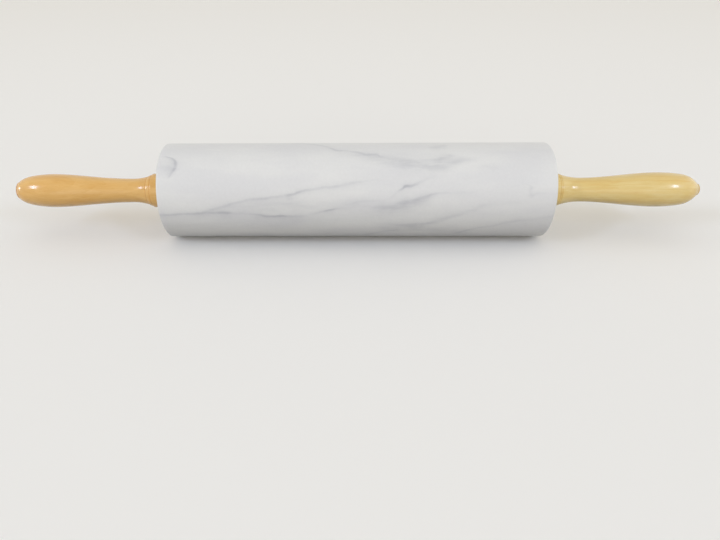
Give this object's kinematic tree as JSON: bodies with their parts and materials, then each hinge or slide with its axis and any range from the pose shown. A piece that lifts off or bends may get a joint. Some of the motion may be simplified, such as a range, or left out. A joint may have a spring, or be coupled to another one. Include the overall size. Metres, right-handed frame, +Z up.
{
  "type": "marble rolling pin",
  "caption": "Marble rolling pin: a polished stone roller with rounded edges turning on a steel rod between turned, lacquered wooden handles.",
  "frame": {"origin": "on the axis, at the middle of the marble roller; the roller's lowest line is 31.5 mm below it", "axes": "+X along the pin towards the right-hand handle, +Z up from the table that the roller lies on, +Y away from the viewer"},
  "size_m": [0.4641, 0.063, 0.063],
  "materials": {
    "white_marble": "polished white marble with grey veins",
    "handle_wood": "turned light hardwood under clear gloss lacquer",
    "rod_steel": "drawn bright steel bar",
    "washer_steel": "zinc-plated steel",
    "bush_nylon": "natural nylon, as moulded",
    "insert_brass": "turned brass"
  },
  "bodies": {
    "handle_assembly": {"axle_rod": "rod_steel", "left_insert": "insert_brass", "right_insert": "insert_brass", "left_washer": "washer_steel", "right_washer": "washer_steel", "left_handle": "handle_wood", "right_handle": "handle_wood"},
    "roller": {"marble_roller": "white_marble", "left_bush": "bush_nylon", "right_bush": "bush_nylon"}
  },
  "joints": [
    {"name": "roller_spin", "type": "hinge", "parent": "handle_assembly", "child": "roller", "pos_m": [0, 0, 0], "axis": [1, 0, 0], "continuous": true}
  ]
}
